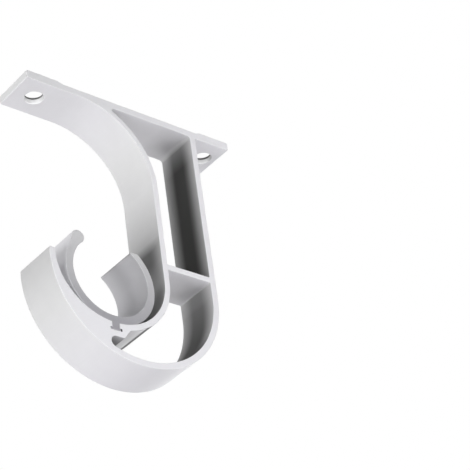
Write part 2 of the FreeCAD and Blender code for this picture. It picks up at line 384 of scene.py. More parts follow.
def cut_rows(length: float, soft: float, middle: np.ndarray, cells: int = 6) -> CutRows:
    """Rows of a piece whose end edges are rounded by a quarter circle.

    With t from 0 on the end face to a quarter turn on the wall, a row is soft (1 - cos t)
    in from the end and soft (1 - sin t) inside the outline.

    Args:
        length: cut length in mm.
        soft: radius of the end edges in mm.
        middle: y of the rows between the two edges, in mm.
        cells: cells round each edge.

    Returns:
        The rows from near to far.
    """
    t = np.linspace(0.0, math.pi / 2.0, cells + 1)
    near = -length / 2.0 + soft * (1.0 - np.cos(t))
    flat = np.zeros_like(middle)
    return CutRows(
        along=np.concatenate([near, middle, -near[::-1]]),
        inset=np.concatenate([soft * (1.0 - np.sin(t)), flat, soft * (1.0 - np.sin(t[::-1]))]),
        out=np.concatenate([np.sin(t), flat + 1.0, np.sin(t[::-1])]),
        end=np.concatenate([-np.cos(t), flat, np.cos(t[::-1])]),
        edge=np.concatenate([np.sin(2.0 * t), flat, np.sin(2.0 * t[::-1])]),
    )


@dataclass
class Shell:
    """Vertices and faces of one mesh while it is put together, in mm.

    Attributes:
        places: arrays of (n, 3) vertices.
        normals: arrays of (n, 3) unit normals.
        ends: arrays of n marks, 1 on a flat end face and 0 on a wall.
        edges: arrays of n marks, 1 along a softened edge.
        painted_shades: arrays of n marks, 1 where the skin carries the painted shade.
        quads: arrays of (n, 4) faces.
        triangles: arrays of (n, 3) faces.
        count: number of vertices so far.
    """

    places: list[np.ndarray] = field(default_factory=list)
    normals: list[np.ndarray] = field(default_factory=list)
    ends: list[np.ndarray] = field(default_factory=list)
    edges: list[np.ndarray] = field(default_factory=list)
    painted_shades: list[np.ndarray] = field(default_factory=list)
    quads: list[np.ndarray] = field(default_factory=list)
    triangles: list[np.ndarray] = field(default_factory=list)
    count: int = 0

    def add(self, places: np.ndarray, normals: np.ndarray, ends: np.ndarray,
            edges: np.ndarray, painted_shades: np.ndarray) -> np.ndarray:
        """Adds a grid of vertices.

        Args:
            places: (rows, columns, 3) places in mm.
            normals: unit normals of the same shape.
            ends: (rows, columns) marks of the end faces.
            edges: (rows, columns) marks of the softened edges.
            painted_shades: (rows, columns) marks of the painted shade.

        Returns:
            (rows, columns) array of vertex numbers.
        """
        rows, columns = places.shape[:2]
        numbers = self.count + np.arange(rows * columns).reshape(rows, columns)
        self.places.append(places.reshape(-1, 3))
        self.normals.append(normals.reshape(-1, 3))
        self.ends.append(ends.reshape(-1))
        self.edges.append(edges.reshape(-1))
        self.painted_shades.append(painted_shades.reshape(-1))
        self.count += rows * columns
        return numbers

    def sweep(self, trace: Trace, rows: CutRows) -> np.ndarray:
        """Adds the wall of an outline carried from the near end to the far end.

        A vertex is the outline's point less the row's inset along the outward direction, at the row's y.
        Its normal is the outward direction and the Y direction, mixed by the row's shares. The painted
        shade, which darkens sheltered walls where shadow falls, is whole up to FADE_START, and fades to
        its share at the end as the rest of the way to the power of FADE_POWER. Where it lies, the
        softened edges lose their edge colour, and it also lies on the far softened edge.

        Args:
            trace: points of the outline.
            rows: rows along the cut length.

        Returns:
            (rows, columns) array of vertex numbers, with no faces yet.
        """
        flat = trace.points - rows.inset[:, None, None] * trace.outward
        lean = rows.out[:, None, None] * trace.outward
        shape = flat.shape[:2]
        along, end = (np.broadcast_to(v[:, None], shape) for v in (rows.along, rows.end))
        places = np.stack([flat[..., 0], along, flat[..., 1]], axis=-1)
        normals = np.stack([lean[..., 0], end, lean[..., 1]], axis=-1)
        across = rows.along[:, None] / rows.along[-1]
        fade = np.clip((np.abs(across) - FADE_START) / (1.0 - FADE_START), 0.0, 1.0) ** FADE_POWER
        painted_shade, near, far = trace.skin.T
        edges = rows.edge[:, None] * (1.0 - painted_shade)
        skin = painted_shade * (1.0 - fade * (1.0 - np.where(across < 0.0, near, far)))
        skin = np.maximum(skin, FAR_EDGE_SHADE * painted_shade * (rows.end > 0.0)[:, None])
        return self.add(places, normals, np.abs(end), edges, skin)

    def close_walls(self, numbers: np.ndarray, gaps: Iterable[tuple[slice, slice]] = ()) -> None:
        """Adds the faces between rows of vertices that go all round.

        Args:
            numbers: (rows, columns) vertex numbers.
            gaps: (rows, columns) of cells that are left open for a hole.
        """
        onward = np.roll(numbers, -1, axis=1)
        cells = np.stack([numbers[:-1], numbers[1:], onward[1:], onward[:-1]], axis=-1)
        keep = np.ones(cells.shape[:2], dtype=bool)
        for rows, columns in gaps:
            keep[rows, columns] = False
        self.quads.append(cells[keep])

    def close_ends(self, walls: list[np.ndarray]) -> None:
        """Adds the two flat end faces between the outline and its hollows.

        The first rows of the walls bound the near face, and a constrained Delaunay
        triangulation fills the area inside the outer one. A triangle belongs to the
        material when a ray from its middle crosses the outlines an odd number of times.
        The last rows take the same triangles, turned over.

        Args:
            walls: vertex numbers of each swept wall.
        """
        near = np.concatenate([w[0] for w in walls])
        far = np.concatenate([w[-1] for w in walls])
        loops, first = [], 0
        for wall in walls:
            ring = first + np.arange(wall.shape[1])
            loops.append(np.column_stack([ring, np.roll(ring, -1)]))
            first += wall.shape[1]
        edges = np.concatenate(loops)
        flat = np.concatenate(self.places)[near][:, [0, 2]]
        found = delaunay_2d_cdt([Vector(p) for p in flat.tolist()], edges.tolist(), [], 1, TINY)
        faces = np.array([origin[0] for origin in found[3]])[np.array(found[2])]
        middle = flat[faces].mean(axis=1)[:, None]
        low, high = flat[edges[:, 0]][None], flat[edges[:, 1]][None]
        spans = (low[..., 1] > middle[..., 1]) != (high[..., 1] > middle[..., 1])
        rise = np.where(spans, high[..., 1] - low[..., 1], 1.0)
        cross = low[..., 0] + (middle[..., 1] - low[..., 1]) * (high[..., 0] - low[..., 0]) / rise
        faces = faces[np.sum(spans & (cross > middle[..., 0]), axis=1) % 2 == 1]
        self.triangles.append(near[faces])
        self.triangles.append(far[faces][:, ::-1])

    def to_mesh(self, name: str) -> bpy.types.Mesh:
        """Puts the arrays into a mesh, in metres, with its normals and marks.

        Args:
            name: name of the mesh.

        Returns:
            The mesh.
        """
        mesh = bpy.data.meshes.new(name)
        faces = np.concatenate(self.quads).tolist()
        faces += np.concatenate(self.triangles).tolist() if self.triangles else []
        mesh.from_pydata((np.concatenate(self.places) * MM).tolist(), [], faces)
        mesh.polygons.foreach_set("use_smooth", np.ones(len(faces), dtype=bool))
        # the painted shade mark darkens sheltered walls in the finishes, standing in for their shadow
        for mark, arrays in (("end_face", self.ends), ("soft_edge", self.edges),
                             ("painted_shade_mark", self.painted_shades)):
            values = mesh.attributes.new(mark, "FLOAT", "POINT")
            values.data.foreach_set("value", np.concatenate(arrays).astype(np.float32))
        mesh.normals_split_custom_set_from_vertices(np.concatenate(self.normals).tolist())
        mesh.update()
        return mesh


@dataclass(frozen=True)
class Ring:
    """One ring of vertices round a hole.

    Attributes:
        place: (n, 3) places in mm.
        normal: their normals, or the one that they share.
        edge: mark of a softened edge.
        painted_shade: mark of the painted shade.
    """

    place: np.ndarray
    normal: np.ndarray
    edge: float
    painted_shade: float


@dataclass(frozen=True)
class ScrewHole:
    """Screw hole from the plate's underside up to its pad, with broken rims.

    Attributes:
        x: place of the hole's axis, in mm.
        radius: radius of the bore.
        rim: width and depth of the break round the lower rim.
        top_rim: the same round the rim on the ceiling side.
        grid: half the side of the square of wall cells that the hole replaces.
        cells: cells along that square's side.
        flat_shares: places of the flat rings, from the square in to the rim's circle.
        break_shares: places of the two rings inside a break, across its width.
        bore_depths: depths of the two rings inside the bore, from the break's foot.
        rim_mark: mark of a softened edge where a break begins and ends.
    """

    x: float
    radius: float
    rim: float
    top_rim: float
    grid: float = 2.9
    cells: int = 16
    flat_shares: Triple = (0.4, 0.75, 0.999)
    break_shares: tuple[float, float] = (0.1, 0.9)
    bore_depths: tuple[float, float] = (0.3, 0.6)
    rim_mark: float = 0.3

    def rows(self) -> np.ndarray:
        """y of the wall rows that cross the square, in mm."""
        return np.linspace(-self.grid, self.grid, self.cells + 1)

    def around(self, shell: Shell, numbers: np.ndarray) -> np.ndarray:
        """Vertices on the border of a square patch of wall, in order round the hole.

        Args:
            shell: mesh so far.
            numbers: (cells + 1, cells + 1) vertex numbers of the patch.

        Returns:
            4 x cells vertex numbers, by growing angle about the hole's axis.
        """
        border = np.unique(np.concatenate([numbers[0], numbers[-1], numbers[:, 0], numbers[:, -1]]))
        places = np.concatenate(shell.places)[border]
        angle = np.arctan2(places[:, 1], places[:, 0] - self.x)
        return border[np.argsort(angle)]

    def cross(self, height: float, heading: Heading, name: str, skin: Skin = Skin(),
              last: Skin | None = None) -> list[Side]:
        """Side that crosses the hole's square, and the one that runs on behind it.

        Args:
            height: height of the face, in mm.
            heading: way that the outline is travelled here.
            name: name of the crossing side.
            skin: skin on the crossing side.
            last: skin where the other side ends.

        Returns:
            The two sides.
        """
        half = heading.value * self.grid
        return [Side((self.x - half, height), skin=skin, cuts=self.cells, name=name),
                Side((self.x + half, height), skin=skin, last=last)]

    def rim_rings(self, border: np.ndarray, radial: np.ndarray, out: np.ndarray, rim: float,
                  flat_shade: float, bore_shade: float) -> list[Ring]:
        """Rings from a square border in to the rim and on into the bore.

        On the flat, a ring lies between the square and the rim's circle by a growing
        share. On the break it goes in and along the axis by the same share of the rim,
        so that it follows the cut of a countersink. The bore's rings have its radius.

        Args:
            border: (n, 3) places of the square's vertices, in mm.
            radial: (n, 3) directions from the axis towards them.
            out: direction that points out of the face.
            rim: width and depth of the break.
            flat_shade: mark of the painted shade on the flat.
            bore_shade: the same on the break and at the bore's mouth.

        Returns:
            The rings, from the square inwards.
        """
        base = np.column_stack([np.full(len(border), self.x), np.zeros(len(border)), border[:, 2]])
        wide = self.radius + rim
        slant = (out - radial) / math.sqrt(2.0)
        rings = [Ring(border + share * (base + wide * radial - border), out, 0.0, flat_shade)
                 for share in self.flat_shares]
        outer, inner = self.break_shares
        broken = ((0.0, out, self.rim_mark, 0.0), (outer, slant, 1.0, bore_shade),
                  (inner, slant, 1.0, bore_shade), (1.0, -radial, self.rim_mark, bore_shade))
        for share, normal, edge, painted_shade in broken:
            place = base + (wide - share * rim) * radial - share * rim * out
            rings.append(Ring(place, normal, edge, painted_shade))
        for depth, painted_shade in zip(self.bore_depths, (bore_shade, 0.0)):
            place = base + self.radius * radial - (rim + depth) * out
            rings.append(Ring(place, -radial, 0.0, painted_shade))
        return rings

    def drill(self, shell: Shell, below: np.ndarray, above: np.ndarray) -> None:
        """Adds the flat rings round both rims, the broken rims and the bore.

        Ring after ring goes from the square in the underside in to the bore, up the bore, and out to the
        square in the pad. The bore's mouth at the pad carries painted shade, for the shadow inside the
        hole.

        Args:
            shell: mesh so far.
            below: border of the square in the underside.
            above: border of the square in the pad.
        """
        places, painted_shades = np.concatenate(shell.places), np.concatenate(shell.painted_shades)
        low, high = places[below], places[above]
        angle = np.arctan2(low[:, 1], low[:, 0] - self.x)
        radial = np.column_stack([np.cos(angle), np.sin(angle), np.zeros_like(angle)])
        up = np.array([0.0, 0.0, 1.0])
        lower = self.rim_rings(low, radial, -up, self.rim, float(painted_shades[below].mean()), 0.0)
        # the bore's mouth at the pad takes the painted shade, for the shadow inside the hole
        upper = self.rim_rings(high, radial, up, self.top_rim, float(painted_shades[above].mean()), 1.0)
        rings = lower + upper[::-1]
        shape = (len(rings), len(low))
        normals = np.stack([np.broadcast_to(ring.normal, low.shape) for ring in rings])
        edges = np.broadcast_to(np.array([[ring.edge] for ring in rings]), shape)
        skins = np.broadcast_to(np.array([[ring.painted_shade] for ring in rings]), shape)
        grid = np.stack([ring.place for ring in rings])
        inner = shell.add(grid, normals, np.zeros(shape), edges, skins)
        shell.close_walls(np.concatenate([below[None], inner, above[None]]))


# finishes


class Graph:
    """Shorthand for the nodes of one tree."""

    def __init__(self, tree: bpy.types.NodeTree) -> None:
        """Takes the tree that the nodes go into."""
        self.tree = tree

    def add(self, kind: str, inputs: Inputs | None = None, **settings: object) -> bpy.types.Node:
        """Adds a node.

        Args:
            kind: Blender's name of the node type.
            inputs: socket by name or number, with a value or a socket to link from.
            **settings: properties of the node.

        Returns:
            The node.
        """
        node = self.tree.nodes.new(kind)
        for key, value in settings.items():
            setattr(node, key, value)
        for key, value in (inputs or {}).items():
            if isinstance(value, bpy.types.NodeSocket):
                self.tree.links.new(value, node.inputs[key])
            else:
                node.inputs[key].default_value = value
        return node

    def math(self, operation: str, a: object, b: object = 0.0, c: object = 0.0) -> bpy.types.NodeSocket:
        """Adds a Math node and returns its result."""
        return self.add("ShaderNodeMath", {0: a, 1: b, 2: c}, operation=operation).outputs[0]

    def blend(self, share: object, a: object, b: object) -> bpy.types.NodeSocket:
        """Adds a colour mix and returns its result."""
        return self.add("ShaderNodeMix", {0: share, 6: a, 7: b}, data_type="RGBA").outputs[2]

    def mix(self, share: object, a: object, b: object) -> bpy.types.NodeSocket:
        """Adds a mix of two numbers and returns its result."""
        return self.add("ShaderNodeMix", {0: share, 2: a, 3: b}).outputs[0]

    def ramp(self, value: object, low: float, high: float) -> bpy.types.NodeSocket:
        """Adds a share that grows from 0 at low to 1 at high and returns it."""
        return self.add("ShaderNodeMapRange", {0: value, 1: low, 2: high}).outputs[0]

    def mark(self, name: str) -> bpy.types.NodeSocket:
        """Adds a mark of the mesh and returns it."""
        return self.add("ShaderNodeAttribute", attribute_name=name).outputs["Fac"]

    def grain(self, place: object, pattern: Pattern) -> bpy.types.Node:
        """Adds the grain group, read at a place with a pattern's Stretch and Scale."""
        inputs = {"Vector": place, "Stretch": pattern[0], "Scale": pattern[1]}
        return self.add("ShaderNodeGroup", inputs, node_tree=grain_group())

    def bump(self, strength: float, distance: float, height: object) -> bpy.types.NodeSocket:
        """Adds a Bump node and returns its normal."""
        values = {"Strength": strength, "Distance": distance, "Height": height}
        return self.add("ShaderNodeBump", values).outputs["Normal"]

    def close(self, kind: str, output: bpy.types.NodeSocket) -> None:
        """Adds the tree's output node and links the last shader to it."""
        self.tree.links.new(output, self.add(kind).inputs["Surface"])


# noise of the grain's lines, and of the drift that fades them
FINE_NOISE = {"Detail": 4.0, "Roughness": 0.6}
SLOW_NOISE = {"Detail": 2.0, "Roughness": 0.5}
# scale of the drift as a share of the lines' scale
DRIFT_SCALE = 0.05
# gain and offset from the drift to the share of the lines that shows
DRIFT_FADE = (1.2, -0.1)


def grain_group() -> bpy.types.NodeTree:
    """Node group of fine stretched lines over the surface, broken up by a slow drift.

    Noise is read at the place times Stretch, so that it is long where Stretch is small.
    A second, slower noise fades the lines in and out.

    Returns:
        The group, with inputs Vector, Stretch and Scale, and outputs Lines and Drift.
    """
    name = "grain"
    if name in bpy.data.node_groups:
        return bpy.data.node_groups[name]
    tree = bpy.data.node_groups.new(name, "ShaderNodeTree")
    for label, side, kind in (("Vector", "INPUT", "Vector"), ("Stretch", "INPUT", "Vector"),
                              ("Scale", "INPUT", "Float"), ("Lines", "OUTPUT", "Float"),
                              ("Drift", "OUTPUT", "Float")):
        tree.interface.new_socket(label, in_out=side, socket_type="NodeSocket" + kind)
    graph = Graph(tree)
    entry = graph.add("NodeGroupInput")
    place, stretch, scale = (entry.outputs[label] for label in ("Vector", "Stretch", "Scale"))
    pulled = graph.add("ShaderNodeVectorMath", {0: place, 1: stretch}, operation="MULTIPLY")
    fine = graph.add("ShaderNodeTexNoise", {"Vector": pulled.outputs[0], "Scale": scale, **FINE_NOISE})
    slow_scale = graph.math("MULTIPLY", scale, DRIFT_SCALE)
    slow = graph.add("ShaderNodeTexNoise", {"Vector": place, "Scale": slow_scale, **SLOW_NOISE})
    fade = graph.math("MULTIPLY_ADD", slow.outputs["Fac"], *DRIFT_FADE)
    centred = graph.math("SUBTRACT", fine.outputs["Fac"], 0.5)
    lines = graph.math("MULTIPLY", centred, fade)
    leave = graph.add("NodeGroupOutput")
    tree.links.new(lines, leave.inputs["Lines"])
    tree.links.new(slow.outputs["Fac"], leave.inputs["Drift"])
    return tree


@dataclass(frozen=True)
class Finish(ABC):
    """Finish of one piece: a Principled shader whose inputs come from its own nodes.

    Attributes:
        material: name of the material.
        slot: name of a slot; not used.
        line_tone: how much the surface lines change the tone.
        drift_tone: how much the slow drift changes it.
        drift_roughness: how much the drift changes the roughness.
        line_bump: strength of the surface lines' bump.
        line_height: height of the surface lines, in m.
    """

    material: str
    slot: str
    line_tone: float
    drift_tone: float
    drift_roughness: float
    line_bump: float
    line_height: float = 0.00002

    @abstractmethod
    def inputs(self, graph: Graph) -> Inputs:
        """Inputs of the shader, with the nodes that feed them."""

    def dress(self, piece: bpy.types.Object) -> None:
        """Makes the material and gives it to a piece.

        Args:
            piece: object to dress.
        """
        material = bpy.data.materials.new(self.material)
        material.use_nodes = True
        material.node_tree.nodes.clear()
        graph = Graph(material.node_tree)
        shader = graph.add("ShaderNodeBsdfPrincipled", self.inputs(graph))
        graph.close("ShaderNodeOutputMaterial", shader.outputs["BSDF"])
        piece.data.materials.clear()
        piece.data.materials.append(material)


@dataclass(frozen=True)
class SatinMetal(Finish):
    """Satin anodised aluminium: drawn walls with die lines, and sawn ends.

    Attributes:
        wall: colour of the drawn walls.
        under: colour of the drawn walls where they face down, a painted lilac cast of the light from
            below.
        sawn: colour of the sawn ends towards the web and the bottom, painted lighter and lilac there for
            the light from below.
        shaded_sawn: colour of the sawn ends towards the plate's long end, painted darker there as shade.
        edge: colour along the softened edges.
        edge_share: its share there.
        painted_shade: colour of the painted shade on sheltered walls, where shadow falls.
        painted_cast_facing: how far down a wall faces where that colour begins, and is whole.
        metallic: how metallic the bright skin is.
        specular: specular level of the skin.
        wall_roughness: roughness of the walls.
        sawn_roughness: roughness of the ends.
        shade_roughness: roughness that the painted shade mark adds.
        die_lines: pattern of the die lines along the cut length.
        saw_lines: pattern of the saw lines on the ends.
        saw_tone: how much the saw lines change the tone.
        saw_turn: slope of the saw lines, in degrees.
        sawn_light_slope: how much lower a place of the same painted tone lies for its way along X.
        sawn_light_range: where the painted tone of the ends begins and ends to change, in m.
    """

    material: str = "satin_profile"
    slot: str = "profile_metal"
    line_tone: float = 0.10
    drift_tone: float = 0.05
    drift_roughness: float = 0.12
    line_bump: float = 0.25
    wall: Colour = (0.755, 0.755, 0.76)
    under: Colour = (0.77, 0.762, 0.79)
    painted_cast_facing: tuple[float, float] = (-0.5, -1.0)
    sawn: Colour = (0.86, 0.855, 0.885)
    shaded_sawn: Colour = (0.73, 0.73, 0.745)
    edge: Colour = (0.76, 0.76, 0.77)
    edge_share: float = 0.7
    painted_shade: Colour = (0.072, 0.072, 0.070)
    metallic: float = 0.12
    specular: float = 0.15
    wall_roughness: float = 0.42
    sawn_roughness: float = 0.5
    shade_roughness: float = 0.4
    die_lines: Pattern = ((1.0, 0.015, 1.0), 6000.0)
    saw_lines: Pattern = ((0.02, 1.0, 1.0), 5000.0)
    saw_tone: float = 0.12
    saw_turn: float = 24.0
    sawn_light_slope: float = -0.8
    sawn_light_range: tuple[float, float] = (-0.028, 0.03)

    def base(self, graph: Graph, spot: bpy.types.Node, skin: object,
             end: object) -> bpy.types.NodeSocket:
        """Colour of walls and ends before the surface lines.

        Args:
            graph: the material's nodes.
            spot: node of the place and the direction that the surface faces.
            skin: mark of the painted shade.
            end: mark of the flat ends.

        Returns:
            The colour.
        """
        axes = graph.add("ShaderNodeSeparateXYZ", {0: spot.outputs["Object"]})
        facing = graph.add("ShaderNodeSeparateXYZ", {0: spot.outputs["Normal"]})
        # painted lilac cast: walls that face down take a lighter, bluer colour for the light from below
        down = graph.ramp(facing.outputs["Z"], *self.painted_cast_facing)
        wall = graph.blend(down, (*self.wall, 1.0), (*self.under, 1.0))
        # painted shade: sheltered walls take a near-black colour where shadow falls
        wall = graph.blend(skin, wall, (*self.painted_shade, 1.0))
        # painted light across the ends: darker towards the plate's long end, lighter and lilac towards
        # the web and the bottom
        along = graph.math("MULTIPLY_ADD", axes.outputs["Z"], self.sawn_light_slope, axes.outputs["X"])
        along = graph.ramp(along, *self.sawn_light_range)
        sawn = graph.blend(along, (*self.shaded_sawn, 1.0), (*self.sawn, 1.0))
        colour = graph.blend(end, wall, sawn)
        edge = graph.math("MULTIPLY", graph.mark("soft_edge"), self.edge_share)
        return graph.blend(edge, colour, (*self.edge, 1.0))

    def inputs(self, graph: Graph) -> Inputs:
        """Inputs of the shader: tone, roughness and bump of walls and ends.

        Args:
            graph: the material's nodes.

        Returns:
            The inputs by name.
        """
        spot = graph.add("ShaderNodeTexCoord")
        place = spot.outputs["Object"]
        end, skin = graph.mark("end_face"), graph.mark("painted_shade_mark")
        drawn = graph.grain(place, self.die_lines)
        turn = (0.0, math.radians(self.saw_turn), 0.0)
        turned = graph.add("ShaderNodeMapping", {"Vector": place, "Rotation": turn})
        die = drawn.outputs["Lines"]
        saw = graph.grain(turned.outputs[0], self.saw_lines).outputs["Lines"]
        drift = graph.math("SUBTRACT", drawn.outputs["Drift"], 0.5)
        wall_value = graph.math("MULTIPLY_ADD", die, self.line_tone, 1.0)
        wall_value = graph.math("MULTIPLY_ADD", drift, self.drift_tone, wall_value)
        sawn_value = graph.math("MULTIPLY_ADD", saw, self.saw_tone, 1.0)
        value = graph.mix(end, wall_value, sawn_value)
        colour = self.base(graph, spot, skin, end)
        shade = graph.add("ShaderNodeHueSaturation", {"Value": value, "Color": colour})
        rough = graph.mix(end, self.wall_roughness, self.sawn_roughness)
        rough = graph.math("MULTIPLY_ADD", drift, self.drift_roughness, rough)
        rough = graph.math("MULTIPLY_ADD", skin, self.shade_roughness, rough)
        normal = graph.bump(self.line_bump, self.line_height, graph.mix(end, die, saw))
        bright = graph.math("SUBTRACT", 1.0, graph.math("MAXIMUM", skin, end))
        return {"Base Color": shade.outputs["Color"],
                "Metallic": graph.math("MULTIPLY", bright, self.metallic), "Roughness": rough,
                "Specular IOR Level": self.specular, "Normal": normal}


@dataclass(frozen=True)
class GreyPlastic(Finish):
    """Grey moulded plastic with a satin skin.

    Attributes:
        skin: colour of the moulded walls low down at the foot, painted darker there as shade.
        lit_high_wall: colour of the moulded walls up at lip and tip, painted lighter there as light.
        face: colour of the flat ends low down at the foot, painted darker than the walls as shade.
        lit_high_face: colour of the flat ends up at lip and tip, painted lighter than low down as light
            and darker than the walls as shade.
        painted_light_heights: heights between which the painted light and shade change, in m.
        pale: colour along the softened edges.
        pale_share: its share there.
        shade_colour: colour of the painted shade at the tip and on the seat.
        roughness: roughness of the skin.
        mottle: pattern of the skin's fine mottle.
    """

    material: str = "grey_clip_plastic"
    slot: str = "clip_plastic"
    line_tone: float = 0.08
    drift_tone: float = 0.08
    drift_roughness: float = 0.15
    line_bump: float = 0.3
    skin: Colour = (0.58, 0.575, 0.605)
    lit_high_wall: Colour = (0.82, 0.815, 0.845)
    face: Colour = (0.34, 0.335, 0.36)
    lit_high_face: Colour = (0.62, 0.62, 0.63)
    painted_light_heights: tuple[float, float] = (-0.063, -0.041)
    pale: Colour = (0.45, 0.45, 0.465)
    pale_share: float = 0.4
    shade_colour: Colour = (0.12, 0.12, 0.12)
    roughness: float = 0.45
    mottle: Pattern = ((1.0, 1.0, 1.0), 4000.0)

    def inputs(self, graph: Graph) -> Inputs:
        """Inputs of the shader: tone, roughness and bump of the skin.

        Args:
            graph: the material's nodes.

        Returns:
            The inputs by name.
        """
        place = graph.add("ShaderNodeTexCoord").outputs["Object"]
        mottle = graph.grain(place, self.mottle)
        lines = mottle.outputs["Lines"]
        drift = graph.math("SUBTRACT", mottle.outputs["Drift"], 0.5)
        value = graph.math("MULTIPLY_ADD", drift, self.drift_tone, 1.0)
        value = graph.math("MULTIPLY_ADD", lines, self.line_tone, value)
        axes = graph.add("ShaderNodeSeparateXYZ", {0: place})
        # painted light and shade: walls and ends darker low down at the foot and lighter up at lip and
        # tip
        high = graph.ramp(axes.outputs["Z"], *self.painted_light_heights)
        face = graph.blend(high, (*self.face, 1.0), (*self.lit_high_face, 1.0))
        wall = graph.blend(high, (*self.skin, 1.0), (*self.lit_high_wall, 1.0))
        # painted shade at the tip and on the seat
        wall = graph.blend(graph.mark("painted_shade_mark"), wall, (*self.shade_colour, 1.0))
        # the ends take colours painted darker than the walls, as shade
        colour = graph.blend(graph.mark("end_face"), wall, face)
        edge = graph.math("MULTIPLY", graph.mark("soft_edge"), self.pale_share)
        colour = graph.blend(edge, colour, (*self.pale, 1.0))
        shade = graph.add("ShaderNodeHueSaturation", {"Value": value, "Color": colour})
        rough = graph.math("MULTIPLY_ADD", drift, self.drift_roughness, self.roughness)
        normal = graph.bump(self.line_bump, self.line_height, lines)
        return {"Base Color": shade.outputs["Color"], "Roughness": rough, "Normal": normal}


# the pieces


def along_circle(centre: Point, radius: float, degrees: float) -> Point:
    """Point of a circle, the angle taken from +X towards +Z."""
    angle = math.radians(degrees)
    return (centre[0] + radius * math.cos(angle), centre[1] + radius * math.sin(angle))


def round_stops(centre: Point, radius: float, table: SkinTable) -> list[tuple[Point, Skin]]:
    """Places on a circle and the skins there, from a table by angle."""
    return [(along_circle(centre, radius, degrees), skin) for degrees, skin in table]


@dataclass(frozen=True)
class PoleFit:
    """Sizes that the profile and the clip share, in mm."""

    pole_radius: float = 10.0
    pole_drop: float = 51.27
    cut_length: float = 11.6
    strap_left: float = 2.82
    cradle_radius: float = 14.93
    seat_thickness: float = 1.76
    clip_offset: float = 0.3
    slot_depth: float = 1.97
    neck_width: float = 2.0
    head_width: float = 3.1
    head_height: float = 0.65
    mouth_radius: float = 0.3

    @property
    def cradle(self) -> Point:
        """Centre of the cradle's circle."""
        bottom = -self.pole_drop - self.pole_radius - self.seat_thickness
        return (self.strap_left - self.cradle_radius, bottom + self.cradle_radius)

    @property
    def pole(self) -> Point:
        """Centre of the pole."""
        return (self.cradle[0] - self.clip_offset, -self.pole_drop)

    @property
    def slot_floor(self) -> float:
        """Height of the slot's floor."""
        return self.cradle[1] - self.cradle_radius - self.slot_depth

    def on_cradle(self, x: float) -> Point:
        """Point of the cradle's bottom at a place across it."""
        drop = math.sqrt(self.cradle_radius ** 2 - (x - self.cradle[0]) ** 2)
        return (x, self.cradle[1] - drop)


@dataclass(frozen=True)
class Piece(ABC):
    """Piece of the bracket that is drawn as one mesh.

    Attributes:
        fit: sizes that the pieces share.
        name: name of the piece's object and mesh.
        node: node that the piece stands for.
        finish: what it is dressed in.
    """

    fit: PoleFit
    name: str
    node: str
    finish: Finish

    @abstractmethod
    def shell(self) -> Shell:
        """Puts the piece's vertices and faces together."""

    def build(self) -> bpy.types.Object:
        """Builds the piece and dresses it.

        Returns:
            The object, which stands for the piece's node.
        """
        piece = show(self.shell().to_mesh(self.name), self.name, self.node)
        self.finish.dress(piece)
        return piece


